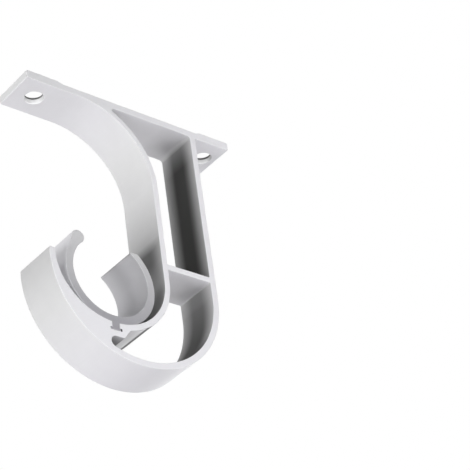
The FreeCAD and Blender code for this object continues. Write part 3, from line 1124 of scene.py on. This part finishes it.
@dataclass(frozen=True)
class BracketProfile(Piece):
    """Cut length of the extruded profile: plate, strap, web, hook, cradle and slot.

    Attributes are sizes in mm, and names that end in corner are radii of rounded corners. The holes' axes
    are at plus and minus half their spacing. A table of skins gives the skin at places inside a side, in
    the order of travel: by height on the strap and the web, and by angle in degrees round a centre
    elsewhere. A pair of ends gives it where a side of a hollow begins and where it ends. The skins carry
    painted shade, which darkens sheltered walls where shadow falls. The plate's underside in the upper
    hollow begins to take painted shade at the share top_start of the way out to the web.
    """

    name: str = "profile_body"
    node: str = "bracket_profile"
    finish: Finish = SatinMetal()
    hole_radius: float = 2.25
    hole_spacing: float = 50.0
    hole_rim: float = 0.15
    hole_top_rim: float = 0.5
    left_margin: float = 5.7
    right_margin: float = 3.65
    plate_thickness: float = 1.75
    plate_corner: float = 0.3
    pad_raise: float = 0.45
    pad_length: float = 8.7
    pad_ramp: float = 1.3
    web_thickness: float = 1.6
    web_outer: float = 18.2
    web_corner: float = 0.4
    strap_thickness: float = 1.45
    strap_top_radius: float = 19.36
    notch_corner: float = 0.6
    hollow_corner: float = 0.95
    cross_web_top: float = -43.1
    cross_web_thickness: float = 1.45
    cross_web_corner: float = 0.25
    arm_tip_thickness: float = 1.36
    arm_tip_rise: float = 3.42
    arm_tip_corner: float = 0.35
    slot_corner: float = 0.13
    block_floor: float = 1.45
    block_reach: float = 2.1
    block_corner: float = 0.13
    flank_run: float = 1.8
    flank_corner: float = 0.5
    pocket_height: float = 4.25
    pocket_corner: float = 1.4
    cut_edge: float = 0.1
    # skin tables: painted shade on sheltered walls, where shadow falls
    strap_skins: SkinTable = ((-32.5, even(0.19)), (-35.4, Skin(0.3, 0.9, 0.8)),
                              (-38.3, Skin(0.83, 0.5, 0.3)), (-41.5, Skin(0.83, 0.5, 0.3)))
    cradle_skins: SkinTable = ((-30.0, Skin(0.8, 0.9, 0.5)),)
    outer_skins: SkinTable = ((200.0, even(0.14)), (235.0, even(0.06)), (280.0, even(0.08)))
    web_skins: SkinTable = ((-9.0, Skin(0.98, 0.3, 0.1)),)
    inner_skins: SkinTable = ((-25.0, Skin(0.9, 0.35, 0.3)), (-42.0, Skin(0.96, 1.0, 0.5)))
    bend_skins: SkinTable = ((-62.0, even(0.0)), (-58.0, even(0.8)), (-50.0, Skin(0.7, 0.8, 0.8)),
                             (-25.0, Skin()))
    # painted shade on the plate, strap, slot, tip, outer wall and hollows
    plate_skin: Skin = even(0.09)
    strap_top_skin: Skin = even(0.08)
    strap_foot_skin: Skin = Skin(0.6, 0.8, 0.3)
    slot_skin: Skin = Skin(1.0, 1.0)
    tip_skin: Skin = even(0.23)
    outer_skin: Skin = even(0.22)
    top_start: float = 0.5
    top_skin: Skin = Skin(0.24, 0.5)
    web_ends: tuple[Skin, Skin] = (Skin(0.7, 0.2, 0.1), Skin(1.0, 0.5, 0.2))
    cross_web_ends: tuple[Skin, Skin] = (Skin(0.74), Skin(0.46))
    strap_low_skin: Skin = Skin(0.24)
    roof_ends: tuple[Skin, Skin] = (Skin(0.6), Skin(0.7))
    inner_ends: tuple[Skin, Skin] = (Skin(0.76), Skin(0.7, 0.6, 0.6))
    pocket_ends: tuple[Skin, Skin] = (Skin(0.9), Skin(0.6))

    @property
    def plate_left(self) -> float:
        """Left end of the plate."""
        return -(self.hole_spacing / 2.0 + self.left_margin)

    @property
    def plate_right(self) -> float:
        """Right end of the plate."""
        return self.hole_spacing / 2.0 + self.right_margin

    @property
    def web_inside(self) -> float:
        """Left face of the web."""
        return self.web_outer - self.web_thickness

    @property
    def strap_inside(self) -> float:
        """Right face of the strap."""
        return self.fit.strap_left + self.strap_thickness

    @property
    def plate_under(self) -> float:
        """Height of the plate's underside."""
        return -(self.plate_thickness + self.pad_raise)

    @property
    def strap_centre(self) -> Point:
        """Centre of the strap's top bend."""
        return (self.fit.strap_left - self.strap_top_radius,
                self.plate_under - self.strap_top_radius)

    @property
    def pocket_top(self) -> float:
        """Height of the slot block's underside."""
        return self.fit.slot_floor - self.block_floor

    @property
    def tip_left(self) -> float:
        """Left face of the arm's tip."""
        return self.fit.cradle[0] - self.fit.cradle_radius - self.arm_tip_thickness

    @property
    def outer_radius(self) -> float:
        """Radius of the round lower wall."""
        return (self.web_outer - self.tip_left) / 2.0

    @property
    def outer_centre(self) -> Point:
        """Centre of the round lower wall."""
        bottom = self.pocket_top - self.pocket_height
        return (self.web_outer - self.outer_radius, bottom + self.inner_radius)

    @property
    def inner_radius(self) -> float:
        """Radius of the round lower wall's inside."""
        return self.outer_radius - self.web_thickness

    def holes(self) -> tuple[ScrewHole, ScrewHole]:
        """The two screw holes, left and right."""
        half = self.hole_spacing / 2.0
        return (ScrewHole(-half, self.hole_radius, self.hole_rim, self.hole_top_rim),
                ScrewHole(half, self.hole_radius, self.hole_rim, self.hole_top_rim))

    def pads(self) -> list[Side]:
        """Plate's top, from its right end to its left end.

        Returns:
            The sides in order.
        """
        left, right = self.plate_left, self.plate_right
        hole_left, hole_right = self.holes()
        ramp = self.pad_length + self.pad_ramp
        return [
            Side((right, 0.0), self.plate_corner),
            *hole_right.cross(0.0, Heading.LEFTWARD, "pad_right"),
            Side((right - self.pad_length, 0.0), self.plate_corner),
            Side((right - ramp, -self.pad_raise), self.plate_corner),
            Side((left + ramp, -self.pad_raise), self.plate_corner),
            Side((left + self.pad_length, 0.0), self.plate_corner),
            *hole_left.cross(0.0, Heading.LEFTWARD, "pad_left"),
            Side((left, 0.0), self.plate_corner),
        ]

    def strap(self) -> list[Side]:
        """Plate's underside on the left, the strap's bend and the strap's left face.

        Returns:
            The sides in order.
        """
        under, x = self.plate_under, self.fit.strap_left
        bend = Side((self.strap_centre[0], under), 0.0, self.strap_centre, Turn.RIGHT,
                    self.strap_top_skin, even(0.0))
        straight = Side((x, self.strap_centre[1]), skin=even(0.0), last=self.strap_foot_skin)
        return [
            Side((self.plate_left, under), self.plate_corner, skin=self.plate_skin),
            *self.holes()[0].cross(under, Heading.RIGHTWARD, "under_left", self.plate_skin,
                                   self.strap_top_skin),
            bend,
            *split(straight, [((x, height), skin) for height, skin in self.strap_skins]),
        ]

    def seat(self) -> list[Side]:
        """Cradle with its T slot, up to the arm's tip.

        Returns:
            The sides in order.
        """
        fit = self.fit
        neck_left, neck_right = (fit.pole[0] + s * fit.neck_width / 2.0 for s in (-1, 1))
        head_left, head_right = (fit.pole[0] + s * fit.head_width / 2.0 for s in (-1, 1))
        head_top = fit.slot_floor + fit.head_height
        head = ((neck_right, head_top), (head_right, head_top), (head_right, fit.slot_floor),
                (head_left, fit.slot_floor), (head_left, head_top))
        cradle = Side((fit.strap_left, fit.cradle[1]), 0.0, fit.cradle, Turn.RIGHT,
                      self.strap_foot_skin, even(1.0))
        return [
            *split(cradle, round_stops(fit.cradle, fit.cradle_radius, self.cradle_skins)),
            Side(fit.on_cradle(neck_right), fit.mouth_radius),
            *(Side(corner, self.slot_corner, skin=self.slot_skin) for corner in head),
            Side((neck_left, head_top), self.slot_corner),
            Side(fit.on_cradle(neck_left), fit.mouth_radius, fit.cradle, Turn.RIGHT),
        ]

    def hook(self) -> list[Side]:
        """Arm's tip, the round outer wall and the web up to the plate.

        Returns:
            The sides in order.
        """
        fit, under = self.fit, self.plate_under
        tip_z = -fit.pole_drop + self.arm_tip_rise
        tip_right = fit.cradle[0] - math.sqrt(fit.cradle_radius ** 2 - (tip_z - fit.cradle[1]) ** 2)
        wall = Side((self.tip_left, self.outer_centre[1]), 0.0, self.outer_centre, Turn.LEFT,
                    self.outer_skin, even(0.0))
        return [
            Side((tip_right, tip_z), self.arm_tip_corner),
            Side((self.tip_left, tip_z), self.arm_tip_corner, skin=self.tip_skin, last=self.outer_skin),
            *split(wall, round_stops(self.outer_centre, self.outer_radius, self.outer_skins)),
            Side((self.web_outer, self.outer_centre[1])),
            Side((self.web_outer, under), self.web_corner),
            *self.holes()[1].cross(under, Heading.RIGHTWARD, "under_right"),
            Side((self.plate_right, under), self.plate_corner),
        ]

    def outside(self) -> Outline:
        """Outline over the plate, down the strap, round the hook and back up the web."""
        return Outline((*self.pads(), *self.strap(), *self.seat(), *self.hook()))

    def upper_hollow(self) -> Outline:
        """Outline of the hollow between plate, strap, web and cross web.

        Returns:
            The outline, travelled clockwise.
        """
        web, strap, top = self.web_inside, self.strap_inside, self.cross_web_top
        reach = self.strap_top_radius + self.strap_thickness
        notch = self.strap_centre[0] + math.sqrt(reach ** 2 - self.strap_top_radius ** 2)
        upright = Side((web, self.plate_under), self.hollow_corner, None, Turn.STRAIGHT,
                       *self.web_ends)
        return Outline((
            Side((notch, self.plate_under), self.notch_corner),
            Side((self.top_start * web, self.plate_under), last=self.top_skin),
            *split(upright, [((web, height), skin) for height, skin in self.web_skins]),
            Side((web, top), self.cross_web_corner, None, Turn.STRAIGHT, *self.cross_web_ends),
            Side((strap, top), self.cross_web_corner, skin=self.cross_web_ends[1]),
            Side((strap, self.strap_centre[1]), 0.0, self.strap_centre, Turn.LEFT,
                 self.cross_web_ends[1], Skin()),
        ))

    def lower_hollow(self) -> Outline:
        """Outline of the hollow under the cross web, round to the pocket by the slot.

        Returns:
            The outline, travelled clockwise.
        """
        cradle, web, strap = self.fit.cradle, self.web_inside, self.strap_inside
        roof = self.cross_web_top - self.cross_web_thickness
        bend = self.fit.cradle_radius + self.strap_thickness
        drop = self.pocket_top - self.outer_centre[1]
        pocket = self.outer_centre[0] - math.sqrt(self.inner_radius ** 2 - drop ** 2)
        block = self.fit.pole[0] + self.block_reach
        flank = block + self.flank_run
        flank_z = cradle[1] - math.sqrt(bend ** 2 - (flank - cradle[0]) ** 2)
        wall = Side((web, self.outer_centre[1]), 0.0, self.outer_centre, Turn.RIGHT, *self.inner_ends)
        over = Side((flank, flank_z), self.flank_corner, cradle, Turn.LEFT)
        return Outline((
            Side((strap, roof), self.cross_web_corner, last=self.strap_low_skin),
            Side((web, roof), self.cross_web_corner, None, Turn.STRAIGHT, *self.roof_ends),
            *split(wall, round_stops(self.outer_centre, self.inner_radius, self.inner_skins)),
            Side((pocket, self.pocket_top), self.pocket_corner, None, Turn.STRAIGHT,
                 *self.pocket_ends),
            Side((block, self.pocket_top), self.block_corner),
            *split(over, round_stops(cradle, bend, self.bend_skins)),
            Side((strap, cradle[1])),
        ))

    def shell(self) -> Shell:
        """Puts the profile's walls, hollows, ends and screw holes together.

        Returns:
            The shell.
        """
        shell = Shell()
        holes = self.holes()
        rows = cut_rows(self.fit.cut_length, self.cut_edge, holes[0].rows())
        cells = holes[0].cells
        first = int(np.searchsorted(rows.along, -holes[0].grid - TINY))
        outside = self.outside().trace()
        walls = [shell.sweep(outside, rows)]
        gaps = [(slice(first, first + cells), slice(c, c + cells))
                for c in outside.columns.values()]
        shell.close_walls(walls[0], gaps)
        for hollow in (self.upper_hollow(), self.lower_hollow()):
            walls.append(shell.sweep(hollow.trace(), rows))
            shell.close_walls(walls[-1])
        shell.close_ends(walls)
        for hole, side in zip(holes, ("left", "right")):
            borders = []
            for face in ("under_", "pad_"):
                column = outside.columns[face + side]
                patch = walls[0][first:first + cells + 1, column:column + cells + 1]
                borders.append(hole.around(shell, patch))
            hole.drill(shell, *borders)
        return shell


@dataclass(frozen=True)
class PoleClip(Piece):
    """Plastic clip: open ring with a thick lip and a foot in the profile's slot.

    Attributes are sizes in mm, and angles in degrees about the pole's centre.
    """

    name: str = "clip_body"
    node: str = "pole_clip"
    finish: Finish = GreyPlastic()
    thickness: float = 1.9
    outer_drop: float = 0.3
    tip_angle: float = 56.3
    tip_inner: float = 0.3
    tip_outer: float = 0.35
    lip_radius: float = 1.6
    lip_inward: float = 0.08
    lip_angle: float = 133.5
    blend_offset: float = 2.0
    foot_clearance: float = 0.05
    head_end_gap: float = 0.3
    end_edge: float = 0.14
    end_rows: int = 10
    # painted shade at the tip's inner corner and on the seat
    tip_skin: Skin = even(0.8)
    seat_skins: tuple[Skin, Skin] = (Skin(0.22, 2.2, 1.0), Skin(0.16, 1.3, 1.0))
    ring_corner: float = 2.0
    neck_corner: float = 0.06
    head_corner: float = 0.16
    fan: float = 2.0

    def foot(self, left: Point, right: Point, outer: Point) -> list[Side]:
        """Sides from the ring's left foot on the cradle, round the foot, to its right one.

        Args:
            left: where the ring's outside meets the cradle on the left.
            right: the same on the right.
            outer: centre of the ring's outer circle.

        Returns:
            The sides, the last of which goes up the ring's outside.
        """
        fit, clear = self.fit, self.foot_clearance
        neck_left = fit.pole[0] - fit.neck_width / 2.0 + clear
        neck_right = fit.pole[0] + fit.neck_width / 2.0 - clear
        head_left = fit.pole[0] - fit.head_width / 2.0 + clear
        head_right = fit.pole[0] + fit.head_width / 2.0 - self.head_end_gap
        floor = fit.slot_floor + clear
        head_top = fit.slot_floor + fit.head_height - clear
        root = fit.mouth_radius - clear
        head = ((head_left, head_top), (head_left, floor), (head_right, floor), (head_right, head_top))
        return [
            Side(left, self.ring_corner, fit.cradle, Turn.LEFT),
            Side(fit.on_cradle(neck_left), root),
            Side((neck_left, head_top), self.neck_corner),
            *(Side(corner, self.head_corner) for corner in head),
            Side((neck_right, head_top), self.neck_corner),
            Side(fit.on_cradle(neck_right), root, fit.cradle, Turn.LEFT),
            Side(right, self.ring_corner, outer, Turn.LEFT),
        ]

    def outline(self) -> Outline:
        """Outline down the ring's outside, round the foot, up to the tip and to the lip.

        The lip's circle lies inside the pole's by its inward share. A blend circle runs
        from the pole's circle into the lip, at the angle that the law of cosines gives,
        and the straight outside touches lip and ring at one angle.

        Returns:
            The outline.
        """
        pole, radius = self.fit.pole, self.fit.pole_radius
        outer = (pole[0], pole[1] - self.outer_drop)
        reach = radius + self.thickness
        lip_reach = radius - self.lip_inward + self.lip_radius
        lip = along_circle(pole, lip_reach, self.lip_angle)
        apart = radius - self.blend_offset + self.lip_radius
        cosine = ((self.blend_offset ** 2 + lip_reach ** 2 - apart ** 2)
                  / (2.0 * self.blend_offset * lip_reach))
        blend_angle = self.lip_angle + math.degrees(math.acos(cosine))
        blend = along_circle(pole, self.blend_offset, blend_angle)
        blend_end = math.degrees(math.atan2(lip[1] - blend[1], lip[0] - blend[0]))
        lean = math.degrees(math.asin((reach - self.lip_radius) / math.dist(lip, outer)))
        touch = math.degrees(math.atan2(lip[1] - outer[1], lip[0] - outer[0])) + 90.0 - lean
        tip_z = pole[1] + radius * math.sin(math.radians(self.tip_angle))
        tip_outer = along_circle(outer, reach, math.degrees(math.asin((tip_z - outer[1]) / reach)))
        left, right = self.meeting(outer, reach)
        return Outline((
            Side(along_circle(outer, reach, touch), 0.0, outer, Turn.LEFT),
            *self.foot(left, right, outer),
            Side(tip_outer, self.tip_outer, skin=even(0.0), last=self.tip_skin),
            Side(along_circle(pole, radius, self.tip_angle), self.tip_inner, pole, Turn.RIGHT,
                 *self.seat_skins),
            Side(along_circle(pole, radius, blend_angle), 0.0, blend, Turn.RIGHT),
            Side(along_circle(lip, self.lip_radius, blend_end - 180.0), 0.0, lip, Turn.LEFT),
            Side(along_circle(lip, self.lip_radius, touch)),
        ), fan=self.fan)

    def meeting(self, outer: Point, reach: float) -> tuple[Point, Point]:
        """Where the ring's outer circle meets the cradle, left and right.

        Two circles meet at (r1^2 - r2^2 + d^2) / 2d from the first centre along the line
        of centres, and as far to each side as Pythagoras gives.

        Args:
            outer: centre of the ring's outer circle.
            reach: its radius.

        Returns:
            The left and the right point.
        """
        cradle = np.array(self.fit.cradle)
        gap = cradle - np.array(outer)
        apart = float(np.linalg.norm(gap))
        along = (reach ** 2 - self.fit.cradle_radius ** 2 + apart ** 2) / (2.0 * apart)
        aside = math.sqrt(reach ** 2 - along ** 2)
        unit = gap / apart
        middle = np.array(outer) + along * unit
        across = np.array([unit[1], -unit[0]]) * aside
        left, right = sorted((tuple(middle - across), tuple(middle + across)))
        return (float(left[0]), float(left[1])), (float(right[0]), float(right[1]))

    def shell(self) -> Shell:
        """Puts the clip's wall and ends together.

        Returns:
            The shell.
        """
        shell = Shell()
        half = self.fit.cut_length / 2.0 - self.end_edge
        rows = cut_rows(self.fit.cut_length, self.end_edge, np.linspace(-half, half, self.end_rows)[1:-1])
        walls = [shell.sweep(self.outline().trace(), rows)]
        shell.close_walls(walls[0])
        shell.close_ends(walls)
        return shell


def show(mesh: bpy.types.Mesh, name: str, node: str) -> bpy.types.Object:
    """Makes an object of a mesh, lets it ride on the bracket and stand for its node.

    Args:
        mesh: the finished mesh.
        name: name of the object.
        node: node that the object stands for.

    Returns:
        The object.
    """
    piece = bpy.data.objects.new(name, mesh)
    bpy.context.scene.collection.objects.link(piece)
    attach(piece, "root")
    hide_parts(node)
    return piece


# the studio


@dataclass(frozen=True)
class SoftBox:
    """Soft light that looks at the bracket and is never seen itself.

    Attributes:
        name: name of the lamp.
        direction: direction from the bracket to the lamp.
        distance: distance in m.
        size: width and height in m.
        level: strength, as the share of a white card's light that it gives face on.
        tint: colour of its light.
    """

    name: str
    direction: Triple
    distance: float
    size: tuple[float, float]
    level: float
    tint: Colour = (1.0, 1.0, 1.0)

    def place(self, aim: Vector) -> bpy.types.Object:
        """Adds the lamp to the scene.

        A lamp of power P in W at the distance d in m lights a white card that faces it
        with P / (pi d^2) per square metre and over pi again in each direction, which
        sets the power for a level.

        Args:
            aim: point that the lamp looks at, in m.

        Returns:
            The lamp's object.
        """
        lamp = bpy.data.lights.new(self.name, "AREA")
        lamp.shape = "RECTANGLE"
        lamp.size, lamp.size_y = self.size
        lamp.energy = self.level * (math.pi * self.distance) ** 2
        lamp.color = self.tint
        toward = Vector(self.direction).normalized()
        holder = bpy.data.objects.new(self.name, lamp)
        holder.location = aim + toward * self.distance
        holder.rotation_mode = "QUATERNION"
        holder.rotation_quaternion = (-toward).to_track_quat("-Z", "Y")
        holder.visible_camera = False
        bpy.context.scene.collection.objects.link(holder)
        return holder


@dataclass(frozen=True)
class Studio:
    """White room, floor, soft lights and the camera.

    Attributes:
        aim: point that the lamps look at, in m.
        floor_half: half the floor's length, in m.
        floor_drop: depth of the floor below the bracket's ceiling face, in m.
        floor_colour: colour of the floor.
        floor_roughness: roughness of the floor.
        floor_glow: how light the floor is where it is seen, beside the lamps' light.
        room: strength of the room's light on the bracket.
        lamps: the soft lights.
        eye: place of the camera, in mm.
        right: the picture's right direction.
        down: the picture's down direction.
        lens: focal length in mm.
        sensor: width of the picture in mm that the focal length belongs to.
        reach: nearest and farthest distance that the camera sees, in m.
    """

    aim: Triple = (-0.003, 0.0, -0.038)
    floor_half: float = 3.0
    floor_drop: float = 0.6
    floor_colour: Colour = (0.9, 0.9, 0.9)
    floor_roughness: float = 0.9
    floor_glow: float = 0.65
    room: float = 0.03
    lamps: tuple[SoftBox, ...] = (
        SoftBox("front_box", (-0.30, -0.93, -0.26), 1.0, (0.5, 0.5), 0.56),
        SoftBox("right_box", (0.50, -0.75, -0.42), 1.0, (0.4, 0.4), 0.22),
        SoftBox("left_box", (-0.82, -0.02, -0.40), 0.8, (0.5, 0.36), 0.52),
        SoftBox("high_box", (-0.80, -0.10, 0.60), 1.0, (0.4, 0.4), 0.2),
        SoftBox("low_box", (0.25, -0.10, -0.90), 0.45, (0.3, 0.3), 0.06, (0.78, 0.76, 1.0)),
        SoftBox("top_box", (0.1, 0.1, 1.0), 1.0, (0.6, 0.6), 0.5),
        SoftBox("back_box", (0.6, 0.8, 0.15), 1.0, (0.6, 0.6), 0.2),
    )
    eye: Triple = (-217.896, -264.615, -257.893)
    right: Triple = (0.77497269, -0.61900412, -0.12748032)
    down: Triple = (0.25777831, 0.49376822, -0.83050785)
    lens: float = 135.106
    sensor: float = 36.0
    reach: tuple[float, float] = (0.01, 20.0)

    def seen(self, graph: Graph) -> bpy.types.NodeSocket:
        """Mask that is 1 for rays of the camera and of mirrored or clear surfaces.

        Args:
            graph: the nodes that the mask goes into.

        Returns:
            The mask.
        """
        path = graph.add("ShaderNodeLightPath")
        seen = graph.math("MAXIMUM", path.outputs["Is Camera Ray"], path.outputs["Is Glossy Ray"])
        return graph.math("MAXIMUM", seen, path.outputs["Is Transmission Ray"])

    def set_room(self) -> None:
        """Makes the world: white where it is seen or mirrored, dimmer as a light."""
        world = bpy.data.worlds.new("white_room")
        bpy.context.scene.world = world
        world.use_nodes = True
        world.node_tree.nodes.clear()
        graph = Graph(world.node_tree)
        strength = graph.mix(self.seen(graph), self.room, 1.0)
        light = graph.add("ShaderNodeBackground", {"Color": WHITE, "Strength": strength})
        graph.close("ShaderNodeOutputWorld", light.outputs[0])

    def lay_floor(self) -> bpy.types.Object:
        """Lays a plain pale floor under the bracket.

        Returns:
            The floor.
        """
        mesh = bpy.data.meshes.new("floor")
        corners = [(x * self.floor_half, y * self.floor_half, -self.floor_drop)
                   for x, y in ((-1, -1), (1, -1), (1, 1), (-1, 1))]
        mesh.from_pydata(corners, [], [(0, 1, 2, 3)])
        floor = bpy.data.objects.new("floor", mesh)
        bpy.context.scene.collection.objects.link(floor)
        material = bpy.data.materials.new("pale_floor")
        material.use_nodes = True
        graph = Graph(material.node_tree)
        shader = graph.tree.nodes["Principled BSDF"]
        shader.inputs["Base Color"].default_value = (*self.floor_colour, 1.0)
        shader.inputs["Roughness"].default_value = self.floor_roughness
        shader.inputs["Emission Color"].default_value = WHITE
        glow = graph.math("MULTIPLY", self.seen(graph), self.floor_glow)
        graph.tree.links.new(glow, shader.inputs["Emission Strength"])
        mesh.materials.append(material)
        return floor

    def set_camera(self) -> bpy.types.Object:
        """Sets the camera where the photograph was taken from.

        Returns:
            The camera.
        """
        lens = bpy.data.cameras.new("camera")
        lens.sensor_width = self.sensor
        lens.lens = self.lens
        lens.clip_start, lens.clip_end = self.reach
        camera = bpy.data.objects.new("camera", lens)
        right, down = Vector(self.right).normalized(), Vector(self.down).normalized()
        forward = right.cross(down)
        turn = Matrix((right, -down, -forward)).transposed()
        camera.matrix_world = Matrix.Translation(Vector(self.eye) * MM) @ turn.to_4x4()
        bpy.context.scene.collection.objects.link(camera)
        bpy.context.scene.camera = camera
        return camera

    def build(self) -> None:
        """Sets up room, floor, lamps and camera."""
        bpy.context.scene.view_settings.view_transform = "Standard"
        self.set_room()
        self.lay_floor()
        for lamp in self.lamps:
            lamp.place(Vector(self.aim))
        self.set_camera()


def report(piece: bpy.types.Object) -> None:
    """Logs a piece's size and its number of faces.

    Args:
        piece: the dressed object.
    """
    low, high = np.array(piece.bound_box).min(axis=0), np.array(piece.bound_box).max(axis=0)
    sizes = " x ".join(f"{v:.2f}" for v in (high - low) / MM)
    LOG.info("%s: %s mm, %d faces", piece.name, sizes, len(piece.data.polygons))


def main() -> None:
    """Builds the bracket's pieces in order, reports each and sets up the studio."""
    logging.basicConfig(level=logging.INFO, format="%(name)s: %(message)s")
    fit = PoleFit()
    for piece in (BracketProfile(fit), PoleClip(fit)):
        report(piece.build())
    Studio().build()


if __name__ == "__main__":
    main()
